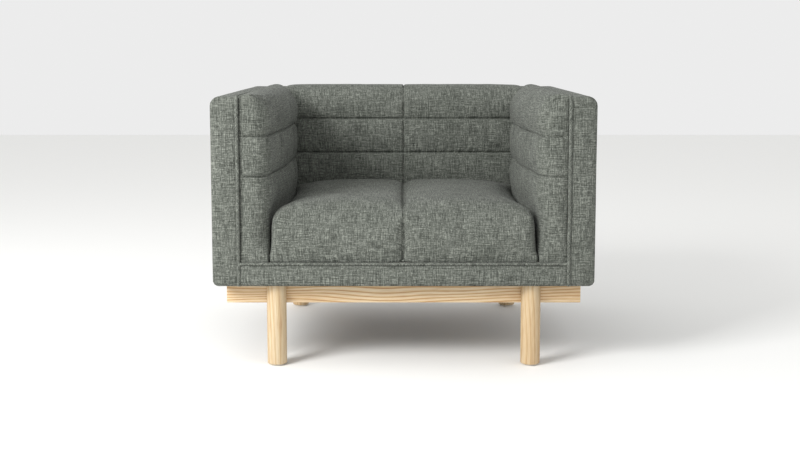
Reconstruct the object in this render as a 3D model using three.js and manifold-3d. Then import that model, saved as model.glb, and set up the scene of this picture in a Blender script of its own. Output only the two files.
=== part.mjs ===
// Upholstered tuxedo armchair on an ash base, in millimetres.
// +Z is up and the front faces -Y. +X is to the right for someone who looks at the front, and left and
// right in names are meant that way. The origin is on the floor, under the middle of the chair.
import * as THREE from "three";
import { mergeVertices } from "three/addons/utils/BufferGeometryUtils.js";
import { RoundedBoxGeometry } from "three/addons/geometries/RoundedBoxGeometry.js";
import Module from "manifold-3d";

const wasm = await Module();
wasm.setup();

// Overall size of the upholstered body.
const WIDTH = 1000;
const DEPTH = 830;
const SHELL_TOP = 716;
const UNDERSIDE = 219;

// Clearance between two pieces that touch.
const FIT = 0.3;

// Shells: the thin upholstered walls that wrap the arms and the back outside.
const SHELL_THICKNESS = 69;
const COVER_THICKNESS = 12;
const SHELL_CORNER_RADIUS = 22;

// Pads inside the shells, and the fixed seat between them.
const ARM_PAD_THICKNESS = 79;
const BACK_PAD_THICKNESS = 150;
const PAD_CROWN = 8;
const PAD_EDGE_RADIUS = 30;
const PAD_FRONT_SETBACK = 4;
const SEAT_FRONT_SETBACK = 10;
const SEAT_CROWN_HEIGHT = 157;
const SEAT_REAR_DROP = 10;
const SEAT_FRONT_ROUND = 60;
const SEAT_EDGE_BEVEL = 20;

// Welts: fabric-covered cord in the seams.
const WELT_DIAMETER = 7;
const WELT_PROUD = 1.5;
const WELT_BEND_RADIUS = 14;

// Carcass: the hidden hardwood frame.
const RAIL_HEIGHT = 54.5;
const SEAT_RAIL_THICKNESS = 28;
const FRONT_POST_DEPTH = 50;
const TOP_RAIL_HEIGHT = 50;
const ARM_BOARD_THICKNESS = 6;
const ARM_BOARD_RISE = 28;
const SPRING_RAIL_THICKNESS = 45;
const SPRING_RAIL_LAP = 20;
const CORNER_BLOCK_SIDE = 96;
const CORNER_BLOCK_CUT = 46;

// Suspension.
const SPRING_WIRE = 3.6;
const SPRING_COUNT = 5;
const SPRING_MARGIN = 137;
const SPRING_AMPLITUDE = 23;
const SPRING_PITCH = 60;
const SPRING_BEARING = 16;
const INSULATOR_LEAST_THICKNESS = 3;
const WEBBING_WIDTH = 60;
const WEBBING_THICKNESS = 1.6;
const WEBBING_COUNT = 3;
const WEBBING_MARGIN = 198;
const WEBBING_LAP = 35;
const DUST_COVER_THICKNESS = 1.2;

// Base: two long rails, two cross rails and four round legs lapped over the long rails.
const BASE_RAIL_END_SETBACK = 28;
const BASE_RAIL_HEIGHT = 54;
const BASE_RAIL_THICKNESS = 32;
const BASE_RAIL_SETBACK = 60;
const CROSS_RAIL_THICKNESS = 30;
const CROSS_RAIL_GAP = 22;
const LEG_DIAMETER = 52;
const LEG_SETBACK = 50;
const LEG_SIDE_SETBACK = 162;
const LEG_FOOT_CHAMFER = 2.5;
const GLIDE_DIAMETER = 40;
const GLIDE_THICKNESS = 3;
const GLIDE_NAIL_DIAMETER = 7;
const GLIDE_NAIL_LENGTH = 18;

// Fasteners and their holes.
const LEG_BOLT_DIAMETER = 8;
const LEG_BOLT_DEPTH_IN_LEG = 22;
const BOLT_HEAD_DIAMETER = 16;
const BOLT_HEAD_HEIGHT = 5;
const FRAME_SCREW_DIAMETER = 6;
const FRAME_SCREW_HEAD_DIAMETER = 12;
const FRAME_SCREW_HEAD_HEIGHT = 4;
const FRAME_SCREW_SINK = 14;
const FRAME_SCREW_BITE = 30;
const HOLE_CLEARANCE = 0.6;

// Round pieces are drawn with this many sides.
const LEG_SIDES = 32;
const BOLT_SIDES = 16;
const WIRE_SIDES = 5;
const WELT_SIDES = 10;

// Planes that several pieces share.
const HALF_WIDTH = WIDTH / 2;
const FRONT = -DEPTH / 2;
const REAR = DEPTH / 2;
const SHELL_INNER_X = HALF_WIDTH - SHELL_THICKNESS;
const SHELL_INNER_Y = REAR - SHELL_THICKNESS;
const PAD_INNER_X = SHELL_INNER_X - ARM_PAD_THICKNESS;
const PAD_FACE_Y = SHELL_INNER_Y - BACK_PAD_THICKNESS;
const CAVITY_X = HALF_WIDTH - COVER_THICKNESS;
const CAVITY_Y = REAR - COVER_THICKNESS;
const CAVITY_TOP = SHELL_TOP - COVER_THICKNESS;
const FRAME_OUTER_X = CAVITY_X - FIT;
const FRAME_INNER_X = SHELL_INNER_X + ARM_BOARD_THICKNESS + 2 * FIT;
const FRAME_END_Y = CAVITY_Y - FIT;
const WEBBING_Y = SHELL_INNER_Y + FIT;
const REAR_FRAME_Y = WEBBING_Y + WEBBING_THICKNESS + FIT;
const FRONT_POST_Y = FRONT_POST_DEPTH - FRAME_END_Y;
const SPRING_RAIL_Y = PAD_FACE_Y + SPRING_RAIL_LAP - SPRING_RAIL_THICKNESS;
const FRAME_BOTTOM = UNDERSIDE + DUST_COVER_THICKNESS + FIT;
const FRAME_TOP = FRAME_BOTTOM + RAIL_HEIGHT;
const TOP_RAIL_BOTTOM = CAVITY_TOP - FIT - TOP_RAIL_HEIGHT;
const WELT_RADIUS = WELT_DIAMETER / 2;
const WELT_SINK = WELT_RADIUS - WELT_PROUD;
const SEAT_WELT_Z = FRAME_TOP + FIT + WELT_RADIUS;
const INSULATOR_BOTTOM = FRAME_TOP + 2 * FIT + SPRING_WIRE;
const INSULATOR_TOP = Math.max(INSULATOR_BOTTOM + INSULATOR_LEAST_THICKNESS, FRAME_TOP + FIT + WELT_DIAMETER);
const PAD_BOTTOM = INSULATOR_TOP + FIT;
const BASE_TOP = UNDERSIDE - FIT;
const BASE_BOTTOM = BASE_TOP - BASE_RAIL_HEIGHT;
const BASE_RAIL_FRONT = FRONT + BASE_RAIL_SETBACK;
const BASE_RAIL_BACK = BASE_RAIL_FRONT + BASE_RAIL_THICKNESS;
const LEG_Y = FRONT + LEG_SETBACK;
const LEG_X = HALF_WIDTH - LEG_SIDE_SETBACK;

const finish = {
  ash: { color: 0xd9bd93, roughness: 0.55, metalness: 0 },
  frameWood: { color: 0xc6a47a, roughness: 0.75, metalness: 0 },
  plywood: { color: 0xbf9d70, roughness: 0.8, metalness: 0 },
  wovenFabric: { color: 0x777a73, roughness: 0.95, metalness: 0 },
  springSteel: { color: 0x5f6164, roughness: 0.4, metalness: 1 },
  zincSteel: { color: 0xb4b6b8, roughness: 0.35, metalness: 1 },
  webbing: { color: 0x3a3a3c, roughness: 0.9, metalness: 0 },
  felt: { color: 0x8d8a84, roughness: 1, metalness: 0 },
  dustCover: { color: 0x202022, roughness: 0.95, metalness: 0 },
  nylon: { color: 0xd8d5cc, roughness: 0.5, metalness: 0 },
};

// A named mesh with a material of its own.
function piece(name, geometry, look) {
  const mesh = new THREE.Mesh(geometry, new THREE.MeshStandardMaterial(look));
  mesh.name = name;
  return mesh;
}

// A mesh's geometry, where the mesh stands, as a solid that can be joined and cut.
function solidOf(mesh) {
  mesh.updateMatrix();
  const geometry = mesh.geometry.clone().applyMatrix4(mesh.matrix);
  geometry.deleteAttribute("normal");
  geometry.deleteAttribute("uv");
  const merged = mergeVertices(geometry, 1e-3);
  return new wasm.Manifold(
    new wasm.Mesh({
      numProp: 3,
      vertProperties: merged.attributes.position.array,
      triVerts: new Uint32Array(merged.index.array),
    }),
  );
}

// A mesh with every cutter taken away from it, in the frame that they all stand in.
function cut(mesh, cutters) {
  let solid = solidOf(mesh);
  for (const cutter of cutters) {
    solid = solid.subtract(solidOf(cutter));
  }
  const result = solid.getMesh();
  const geometry = new THREE.BufferGeometry();
  geometry.setAttribute("position", new THREE.BufferAttribute(new Float32Array(result.vertProperties), 3));
  geometry.setIndex(new THREE.BufferAttribute(new Uint32Array(result.triVerts), 1));
  geometry.computeVertexNormals();
  const made = new THREE.Mesh(geometry, mesh.material);
  made.name = mesh.name;
  return made;
}

// A rectangular block between two values on each axis.
function block(name, x, y, z, look) {
  const mesh = piece(name, new THREE.BoxGeometry(x[1] - x[0], y[1] - y[0], z[1] - z[0]), look);
  mesh.position.set((x[0] + x[1]) / 2, (y[0] + y[1]) / 2, (z[0] + z[1]) / 2);
  return mesh;
}

// A block with all its edges rounded.
function softBlock(name, x, y, z, radius, look) {
  const size = [x[1] - x[0], y[1] - y[0], z[1] - z[0]];
  const round = Math.min(radius, ...size.map((side) => 0.45 * side));
  const mesh = piece(name, new RoundedBoxGeometry(...size, 3, round), look);
  mesh.position.set((x[0] + x[1]) / 2, (y[0] + y[1]) / 2, (z[0] + z[1]) / 2);
  return mesh;
}

// The same interval on the left (side -1) or on the right (side +1) of the chair.
function mirrored(side, near, far) {
  return side > 0 ? [near, far] : [-far, -near];
}

// The same interval at the front (end -1) or at the rear (end +1) of the chair.
function ended(end, near, far) {
  return end > 0 ? [near, far] : [-far, -near];
}

// A round rod that runs up from z = 0; steps are [radius, height] pairs of its outline.
function turned(name, steps, sides, look) {
  const outline = steps.map(([radius, height]) => new THREE.Vector2(radius, height));
  const geometry = new THREE.LatheGeometry(outline, sides);
  geometry.rotateX(Math.PI / 2);
  return piece(name, geometry, look);
}

// A path straight from one listed point to the next, whose steps fall on the points.
class PointPath extends THREE.Curve {
  constructor(points) {
    super();
    this.points = points;
  }

  getPoint(t) {
    const along = t * (this.points.length - 1);
    const start = Math.min(Math.floor(along), this.points.length - 2);
    return this.points[start].clone().lerp(this.points[start + 1], along - start);
  }

  getPointAt(t) {
    return this.getPoint(t);
  }

  getSpacedPoints() {
    return this.points;
  }

  getTangentAt(t) {
    const here = Math.round(t * (this.points.length - 1));
    const before = this.points[Math.max(here - 1, 0)];
    const after = this.points[Math.min(here + 1, this.points.length - 1)];
    return after.clone().sub(before).normalize();
  }
}

// A rod of round section along listed points.
function rod(name, points, radius, sides, look) {
  const section = new THREE.Shape();
  for (let i = 0; i < sides; i += 1) {
    const angle = (2 * Math.PI * i) / sides;
    section[i ? "lineTo" : "moveTo"](radius * Math.cos(angle), radius * Math.sin(angle));
  }
  section.closePath();
  const settings = { steps: points.length - 1, extrudePath: new PointPath(points) };
  return piece(name, new THREE.ExtrudeGeometry(section, settings), look);
}

const SIDES = [
  [-1, "left"],
  [1, "right"],
];
const ENDS = [
  [-1, "front"],
  [1, "rear"],
];

// Base ------------------------------------------------------------------------------------------

const BOLT_Z = BASE_BOTTOM + BASE_RAIL_HEIGHT / 2;
const FRAME_SCREW_X = FRAME_INNER_X - CORNER_BLOCK_SIDE / 2;
const FRAME_SCREW_Y = BASE_RAIL_FRONT + BASE_RAIL_THICKNESS / 2;
const FRAME_SCREW_HEAD_Z = BASE_BOTTOM + FRAME_SCREW_SINK;
const FRAME_SCREW_TIP_Z = FRAME_BOTTOM + FRAME_SCREW_BITE;

// The hole of one leg bolt, along Y through a long rail and into its leg.
function legBoltHole(side, end) {
  const reach = BASE_RAIL_THICKNESS + LEG_BOLT_DEPTH_IN_LEG + 2 * HOLE_CLEARANCE;
  const radius = (LEG_BOLT_DIAMETER + HOLE_CLEARANCE) / 2;
  const hole = piece("hole", new THREE.CylinderGeometry(radius, radius, reach + 2, BOLT_SIDES), finish.ash);
  const middle = -(BASE_RAIL_BACK + 2 - (reach + 2) / 2);
  hole.position.set(side * LEG_X, end * middle, BOLT_Z);
  return hole;
}

// The stepped hole of one frame screw, up through a long rail and the dust cover.
function frameScrewHoles(side, end) {
  const wide = (FRAME_SCREW_HEAD_DIAMETER + HOLE_CLEARANCE) / 2;
  const narrow = (FRAME_SCREW_DIAMETER + HOLE_CLEARANCE) / 2;
  const sink = FRAME_SCREW_SINK;
  const depth = FRAME_SCREW_TIP_Z + HOLE_CLEARANCE - BASE_BOTTOM;
  const holes = [
    turned("hole", [[0, -1], [wide, -1], [wide, sink], [0, sink]], BOLT_SIDES, finish.ash),
    turned("hole", [[0, 0], [narrow, 0], [narrow, depth], [0, depth]], BOLT_SIDES, finish.ash),
  ];
  for (const hole of holes) {
    hole.position.set(side * FRAME_SCREW_X, -end * FRAME_SCREW_Y, BASE_BOTTOM);
  }
  return holes;
}

function baseLongRail(end, word) {
  const half = HALF_WIDTH - BASE_RAIL_END_SETBACK;
  const y = ended(end, -BASE_RAIL_BACK, -BASE_RAIL_FRONT);
  const rail = block(`base_${word}_rail`, [-half, half], y, [BASE_BOTTOM, BASE_TOP], finish.ash);
  const holes = SIDES.flatMap(([side]) => [legBoltHole(side, end), ...frameScrewHoles(side, end)]);
  return cut(rail, holes);
}

function baseCrossRail(side, word) {
  const outer = LEG_X - LEG_DIAMETER / 2 - CROSS_RAIL_GAP;
  const x = mirrored(side, outer - CROSS_RAIL_THICKNESS, outer);
  const end = -BASE_RAIL_BACK - FIT;
  return block(`base_${word}_cross_rail`, x, [-end, end], [BASE_BOTTOM, BASE_TOP], finish.ash);
}

// A round leg: full round below its long rail, cut flat where it laps over the rail's face.
function leg(side, end, name) {
  const radius = LEG_DIAMETER / 2;
  const height = BASE_TOP - GLIDE_THICKNESS - FIT;
  const outline = [
    [0, 0],
    [radius - LEG_FOOT_CHAMFER, 0],
    [radius, LEG_FOOT_CHAMFER],
    [radius, height],
    [0, height],
  ];
  const round = turned(name, outline, LEG_SIDES, finish.ash);
  round.position.set(side * LEG_X, -end * LEG_Y, GLIDE_THICKNESS + FIT);
  const lapX = [side * LEG_X - LEG_DIAMETER, side * LEG_X + LEG_DIAMETER];
  const lapY = ended(end, -(BASE_RAIL_FRONT + LEG_DIAMETER), -(BASE_RAIL_FRONT - FIT));
  const lap = block("lap", lapX, lapY, [BASE_BOTTOM - FIT, BASE_TOP + 1], finish.ash);
  const nailRadius = (GLIDE_NAIL_DIAMETER + HOLE_CLEARANCE) / 2;
  const depth = GLIDE_NAIL_LENGTH + HOLE_CLEARANCE;
  const nailHole = turned("hole", [[0, -1], [nailRadius, -1], [nailRadius, depth], [0, depth]], BOLT_SIDES,
    finish.ash);
  nailHole.position.copy(round.position);
  return cut(round, [lap, nailHole, legBoltHole(side, end)]);
}

// A nylon glide: a disc with a nail that is driven up into the leg.
function glide(side, end, name) {
  const nail = GLIDE_NAIL_DIAMETER / 2;
  const disc = GLIDE_DIAMETER / 2;
  const outline = [
    [0, 0],
    [disc - 1, 0],
    [disc, 1],
    [disc, GLIDE_THICKNESS],
    [nail, GLIDE_THICKNESS],
    [nail, GLIDE_THICKNESS + GLIDE_NAIL_LENGTH],
    [0, GLIDE_THICKNESS + GLIDE_NAIL_LENGTH],
  ];
  const made = turned(name, outline, BOLT_SIDES * 2, finish.nylon);
  made.position.set(side * LEG_X, -end * LEG_Y, 0);
  return made;
}

// A bolt that pulls a leg against its long rail, with its head on the rail's hidden face.
function legBolt(side, end, name) {
  const shank = LEG_BOLT_DIAMETER / 2;
  const head = BOLT_HEAD_DIAMETER / 2;
  const length = BASE_RAIL_THICKNESS + FIT + LEG_BOLT_DEPTH_IN_LEG;
  const outline = [
    [0, -BOLT_HEAD_HEIGHT],
    [head - 1, -BOLT_HEAD_HEIGHT],
    [head, 1 - BOLT_HEAD_HEIGHT],
    [head, 0],
    [shank, 0],
    [shank, length],
    [0, length],
  ];
  const bolt = turned(name, outline, BOLT_SIDES, finish.zincSteel);
  bolt.position.set(side * LEG_X, -end * (BASE_RAIL_BACK + FIT), BOLT_Z);
  bolt.rotation.x = (-end * Math.PI) / 2;
  return bolt;
}

// A screw that holds the carcass on the base: up through a long rail into a corner block.
function frameScrew(side, end, name) {
  const shank = FRAME_SCREW_DIAMETER / 2;
  const head = FRAME_SCREW_HEAD_DIAMETER / 2;
  const headTop = -FIT;
  const outline = [
    [0, headTop - FRAME_SCREW_HEAD_HEIGHT],
    [head, headTop - FRAME_SCREW_HEAD_HEIGHT],
    [head, headTop],
    [shank, headTop],
    [shank, FRAME_SCREW_TIP_Z - FRAME_SCREW_HEAD_Z - shank],
    [0, FRAME_SCREW_TIP_Z - FRAME_SCREW_HEAD_Z],
  ];
  const screw = turned(name, outline, BOLT_SIDES, finish.zincSteel);
  screw.position.set(side * FRAME_SCREW_X, -end * FRAME_SCREW_Y, FRAME_SCREW_HEAD_Z);
  return screw;
}

function base() {
  const group = new THREE.Group();
  for (const [end, endWord] of ENDS) {
    group.add(baseLongRail(end, endWord));
    for (const [side, sideWord] of SIDES) {
      const where = `${endWord}_${sideWord}`;
      group.add(leg(side, end, `leg_${where}`));
      group.add(glide(side, end, `glide_${where}`));
      group.add(legBolt(side, end, `leg_bolt_${where}`));
      group.add(frameScrew(side, end, `frame_screw_${where}`));
    }
  }
  for (const [side, word] of SIDES) {
    group.add(baseCrossRail(side, word));
  }
  return group;
}

// Carcass ---------------------------------------------------------------------------------------

// One arm's frame: two posts, the seat rail between them, the top rail over them, and a board.
function armFrame(side, word) {
  const group = new THREE.Group();
  const x = mirrored(side, FRAME_INNER_X, FRAME_OUTER_X);
  const postZ = [FRAME_BOTTOM, TOP_RAIL_BOTTOM - FIT];
  group.add(block(`front_post_${word}`, x, [-FRAME_END_Y, FRONT_POST_Y], postZ, finish.frameWood));
  group.add(block(`rear_post_${word}`, x, [REAR_FRAME_Y, FRAME_END_Y], postZ, finish.frameWood));
  const railY = [FRONT_POST_Y + FIT, REAR_FRAME_Y - FIT];
  group.add(block(`seat_rail_${word}`, x, railY, [FRAME_BOTTOM, FRAME_TOP], finish.frameWood));
  const topZ = [TOP_RAIL_BOTTOM, TOP_RAIL_BOTTOM + TOP_RAIL_HEIGHT];
  group.add(block(`arm_top_rail_${word}`, x, [-FRAME_END_Y, FRAME_END_Y], topZ, finish.frameWood));
  const boardX = mirrored(side, SHELL_INNER_X + FIT, SHELL_INNER_X + FIT + ARM_BOARD_THICKNESS);
  const boardZ = [FRAME_TOP + ARM_BOARD_RISE, topZ[1]];
  const boardY = [-FRAME_END_Y, SHELL_INNER_Y - FIT];
  group.add(block(`arm_board_${word}`, boardX, boardY, boardZ, finish.plywood));
  return group;
}

// A corner block: a square block with its inner corner cut off, bored for its frame screw.
function cornerBlock(side, end, name) {
  const long = CORNER_BLOCK_SIDE;
  const outline = new THREE.Shape();
  outline.moveTo(0, 0);
  outline.lineTo(long, 0);
  outline.lineTo(long, long - CORNER_BLOCK_CUT);
  outline.lineTo(long - CORNER_BLOCK_CUT, long);
  outline.lineTo(0, long);
  outline.closePath();
  const shape = new THREE.ExtrudeGeometry(outline, { depth: RAIL_HEIGHT, bevelEnabled: false });
  const made = piece(name, shape, finish.frameWood);
  const cornerX = FRAME_INNER_X - FIT;
  const cornerY = end > 0 ? REAR_FRAME_Y - FIT : SEAT_RAIL_THICKNESS - FRAME_END_Y + FIT;
  made.position.set(side * cornerX, cornerY, FRAME_BOTTOM);
  const turns = { "-1,-1": 0, "1,-1": 1, "1,1": 2, "-1,1": 3 };
  made.rotation.z = (turns[`${side},${end}`] * Math.PI) / 2;
  return cut(made, frameScrewHoles(side, end));
}

function crossRail(name, y) {
  const x = FRAME_INNER_X - FIT;
  return block(name, [-x, x], y, [FRAME_BOTTOM, FRAME_TOP], finish.frameWood);
}

function carcass() {
  const group = new THREE.Group();
  for (const [side, word] of SIDES) {
    group.add(armFrame(side, word));
    for (const [end, endWord] of ENDS) {
      group.add(cornerBlock(side, end, `corner_block_${endWord}_${word}`));
    }
  }
  group.add(crossRail("seat_front_rail", [-FRAME_END_Y, SEAT_RAIL_THICKNESS - FRAME_END_Y]));
  group.add(crossRail("seat_rear_rail", [REAR_FRAME_Y, FRAME_END_Y]));
  group.add(crossRail("spring_rail", [SPRING_RAIL_Y, SPRING_RAIL_Y + SPRING_RAIL_THICKNESS]));
  const backX = FRAME_INNER_X - FIT;
  const backZ = [TOP_RAIL_BOTTOM, TOP_RAIL_BOTTOM + TOP_RAIL_HEIGHT];
  group.add(block("back_top_rail", [-backX, backX], [REAR_FRAME_Y, FRAME_END_Y], backZ, finish.frameWood));
  return group;
}

// Suspension ------------------------------------------------------------------------------------

// A sinuous spring: one wire bent into even loops, lying flat on the front rail and the spring rail.
function sinuousSpring(index) {
  const x = (FRAME_INNER_X - SPRING_MARGIN) * ((2 * index) / (SPRING_COUNT - 1) - 1);
  const z = FRAME_TOP + FIT + SPRING_WIRE / 2;
  const start = SEAT_RAIL_THICKNESS - FRAME_END_Y - SPRING_BEARING;
  const stop = SPRING_RAIL_Y + SPRING_BEARING;
  const loops = Math.round((stop - start) / SPRING_PITCH);
  const loopSteps = 6;
  const points = [];
  for (let i = 0; i <= loops * loopSteps; i += 1) {
    const turn = (2 * Math.PI * i) / loopSteps;
    const along = start + ((stop - start) * i) / (loops * loopSteps);
    points.push(new THREE.Vector3(x + SPRING_AMPLITUDE * Math.sin(turn), along, z));
  }
  return rod(`sinuous_spring_${index + 1}`, points, SPRING_WIRE / 2, WIRE_SIDES, finish.springSteel);
}

// An upright strap behind the back pad, from the rear seat rail to the back top rail.
function webbingStrap(index) {
  const x = (FRAME_INNER_X - WEBBING_MARGIN) * ((2 * index) / (WEBBING_COUNT - 1) - 1);
  const across = [x - WEBBING_WIDTH / 2, x + WEBBING_WIDTH / 2];
  const deep = [WEBBING_Y, WEBBING_Y + WEBBING_THICKNESS];
  const up = [FRAME_TOP - WEBBING_LAP, TOP_RAIL_BOTTOM + WEBBING_LAP];
  return block(`back_webbing_${index + 1}`, across, deep, up, finish.webbing);
}

function suspension() {
  const group = new THREE.Group();
  for (let i = 0; i < SPRING_COUNT; i += 1) {
    group.add(sinuousSpring(i));
  }
  for (let i = 0; i < WEBBING_COUNT; i += 1) {
    group.add(webbingStrap(i));
  }
  const feltX = SHELL_INNER_X - FIT;
  const feltY = [FRONT + COVER_THICKNESS + FIT, SHELL_INNER_Y - FIT];
  const feltZ = [INSULATOR_BOTTOM, INSULATOR_TOP];
  group.add(block("spring_insulator", [-feltX, feltX], feltY, feltZ, finish.felt));
  const cover = block("dust_cover", [-FRAME_OUTER_X, FRAME_OUTER_X], [-FRAME_END_Y, FRAME_END_Y],
    [UNDERSIDE, UNDERSIDE + DUST_COVER_THICKNESS], finish.dustCover);
  const holes = SIDES.flatMap(([side]) => ENDS.flatMap(([end]) => frameScrewHoles(side, end)));
  group.add(cut(cover, holes));
  return group;
}

// Upholstery ------------------------------------------------------------------------------------

// The grooves that leave room for the cord along the front and the top of one arm's inner seam.
function armWeltGrooves(side) {
  const x = [side * SHELL_INNER_X - WELT_RADIUS - FIT, side * SHELL_INNER_X + WELT_RADIUS + FIT];
  const depth = WELT_SINK + WELT_RADIUS + FIT;
  const bend = WELT_SINK + WELT_BEND_RADIUS;
  const front = block("groove", x, [FRONT - 10, FRONT + depth], [UNDERSIDE - 10, SHELL_TOP + 10], finish.ash);
  const top = block("groove", x, [FRONT - 10, REAR + 10], [SHELL_TOP - depth, SHELL_TOP + 20], finish.ash);
  const corner = block("groove", x, [FRONT - 10, FRONT + bend], [SHELL_TOP - bend, SHELL_TOP + 20], finish.ash);
  return [front, top, corner];
}

// The groove for the cord between the back shell and the back pad.
function backWeltGroove() {
  const y = [SHELL_INNER_Y - WELT_RADIUS - FIT, SHELL_INNER_Y + WELT_RADIUS + FIT];
  const depth = WELT_SINK + WELT_RADIUS + FIT;
  return block("groove", [-HALF_WIDTH, HALF_WIDTH], y, [SHELL_TOP - depth, SHELL_TOP + 20], finish.ash);
}

// An arm shell: padding and fabric round the outside, the top and both ends of an arm frame.
function armShell(side, word) {
  const outer = side * HALF_WIDTH;
  const inner = side * SHELL_INNER_X;
  const round = side * SHELL_CORNER_RADIUS;
  const outline = new THREE.Shape();
  outline.moveTo(inner, UNDERSIDE);
  outline.lineTo(outer - round, UNDERSIDE);
  outline.quadraticCurveTo(outer, UNDERSIDE, outer, UNDERSIDE + SHELL_CORNER_RADIUS);
  outline.lineTo(outer, SHELL_TOP - SHELL_CORNER_RADIUS);
  outline.quadraticCurveTo(outer, SHELL_TOP, outer - round, SHELL_TOP);
  outline.lineTo(inner, SHELL_TOP);
  outline.closePath();
  const shape = new THREE.ExtrudeGeometry(outline, { depth: DEPTH, bevelEnabled: false, curveSegments: 5 });
  const whole = piece(`${word}_arm_shell`, shape, finish.wovenFabric);
  whole.position.y = REAR;
  whole.rotation.x = Math.PI / 2;
  const hollowX = side > 0 ? [SHELL_INNER_X - 10, CAVITY_X] : [-CAVITY_X, 10 - SHELL_INNER_X];
  const hollow = block("hollow", hollowX, [-CAVITY_Y, CAVITY_Y], [UNDERSIDE - 10, CAVITY_TOP], finish.ash);
  return cut(whole, [hollow, ...armWeltGrooves(side)]);
}

// The back shell: padding and fabric over the outside and the top of the back frame.
function backShell() {
  const outline = new THREE.Shape();
  outline.moveTo(SHELL_INNER_Y, CAVITY_TOP);
  outline.lineTo(CAVITY_Y, CAVITY_TOP);
  outline.lineTo(CAVITY_Y, UNDERSIDE);
  outline.lineTo(REAR, UNDERSIDE);
  outline.lineTo(REAR, SHELL_TOP - SHELL_CORNER_RADIUS);
  outline.quadraticCurveTo(REAR, SHELL_TOP, REAR - SHELL_CORNER_RADIUS, SHELL_TOP);
  outline.lineTo(SHELL_INNER_Y, SHELL_TOP);
  outline.closePath();
  const half = SHELL_INNER_X - WELT_RADIUS - 2 * FIT;
  const shape = new THREE.ExtrudeGeometry(outline, { depth: 2 * half, bevelEnabled: false, curveSegments: 5 });
  const axes = [new THREE.Vector3(0, 1, 0), new THREE.Vector3(0, 0, 1), new THREE.Vector3(1, 0, 0)];
  shape.applyMatrix4(new THREE.Matrix4().makeBasis(...axes));
  const whole = piece("back_shell", shape, finish.wovenFabric);
  whole.position.x = -half;
  return cut(whole, [backWeltGroove()]);
}

// The band under the seat: padding and fabric on the face of the front seat rail.
function frontBand() {
  const half = SHELL_INNER_X - WELT_RADIUS - FIT;
  const y = [FRONT, FRONT + COVER_THICKNESS];
  const band = block("front_band", [-half, half], y, [UNDERSIDE, SEAT_WELT_Z - FIT], finish.wovenFabric);
  const depth = WELT_SINK + WELT_RADIUS + FIT;
  const grooveZ = [SEAT_WELT_Z - WELT_RADIUS - FIT, SEAT_WELT_Z + 10];
  const groove = block("groove", [-half - 1, half + 1], [FRONT - 10, FRONT + depth], grooveZ, finish.ash);
  return cut(band, [groove]);
}

function armPad(side, word) {
  const x = mirrored(side, PAD_INNER_X, SHELL_INNER_X - FIT);
  const y = [FRONT + PAD_FRONT_SETBACK, SHELL_INNER_Y - FIT];
  const z = [PAD_BOTTOM, SHELL_TOP + PAD_CROWN];
  const pad = softBlock(`${word}_arm_pad`, x, y, z, PAD_EDGE_RADIUS, finish.wovenFabric);
  return cut(pad, [...armWeltGrooves(side), backWeltGroove()]);
}

function backPad() {
  const half = PAD_INNER_X - FIT;
  const y = [PAD_FACE_Y, SHELL_INNER_Y - FIT];
  const z = [PAD_BOTTOM, SHELL_TOP + PAD_CROWN];
  const pad = softBlock("back_pad", [-half, half], y, z, PAD_EDGE_RADIUS, finish.wovenFabric);
  return cut(pad, [backWeltGroove()]);
}

// The fixed seat: a crowned cushion with a rounded front, sewn down between the pads.
function seatCushion() {
  const front = FRONT + SEAT_FRONT_SETBACK;
  const rear = PAD_FACE_Y - FIT;
  const crown = PAD_BOTTOM + SEAT_CROWN_HEIGHT;
  const edge = crown - SEAT_REAR_DROP;
  const outline = new THREE.Shape();
  outline.moveTo(front, PAD_BOTTOM);
  outline.lineTo(rear, PAD_BOTTOM);
  outline.lineTo(rear, edge);
  outline.quadraticCurveTo((front + rear) / 2, crown + SEAT_REAR_DROP, front + SEAT_FRONT_ROUND, edge);
  outline.quadraticCurveTo(front, edge - SEAT_REAR_DROP, front, edge - SEAT_FRONT_ROUND);
  outline.closePath();
  const half = PAD_INNER_X - FIT;
  const bevel = SEAT_EDGE_BEVEL;
  const settings = {
    depth: 2 * (half - bevel),
    bevelThickness: bevel,
    bevelSize: bevel,
    bevelOffset: -bevel,
    bevelSegments: 3,
    curveSegments: 8,
  };
  const shape = new THREE.ExtrudeGeometry(outline, settings);
  const axes = [new THREE.Vector3(0, 1, 0), new THREE.Vector3(0, 0, 1), new THREE.Vector3(1, 0, 0)];
  shape.applyMatrix4(new THREE.Matrix4().makeBasis(...axes));
  const seat = piece("seat_cushion", shape, finish.wovenFabric);
  seat.position.x = bevel - half;
  return seat;
}

// The cord of one arm's inner seam: up the front, round the top corner and back to the back seam.
function armWelt(side, word) {
  const x = side * SHELL_INNER_X;
  const y = FRONT + WELT_SINK;
  const z = SHELL_TOP - WELT_SINK;
  const bend = WELT_BEND_RADIUS;
  const bendSteps = 4;
  const points = [new THREE.Vector3(x, y, UNDERSIDE + WELT_RADIUS)];
  for (let i = 0; i <= bendSteps; i += 1) {
    const angle = (Math.PI * i) / (2 * bendSteps);
    points.push(new THREE.Vector3(x, y + bend * (1 - Math.cos(angle)), z - bend * (1 - Math.sin(angle))));
  }
  points.push(new THREE.Vector3(x, SHELL_INNER_Y + WELT_RADIUS, z));
  return rod(`${word}_arm_welt`, points, WELT_RADIUS, WELT_SIDES, finish.wovenFabric);
}

// A straight cord across the chair, between the two arm cords.
function crossWelt(name, y, z) {
  const half = SHELL_INNER_X - WELT_RADIUS - FIT;
  const points = [new THREE.Vector3(-half, y, z), new THREE.Vector3(half, y, z)];
  return rod(name, points, WELT_RADIUS, WELT_SIDES, finish.wovenFabric);
}

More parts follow.
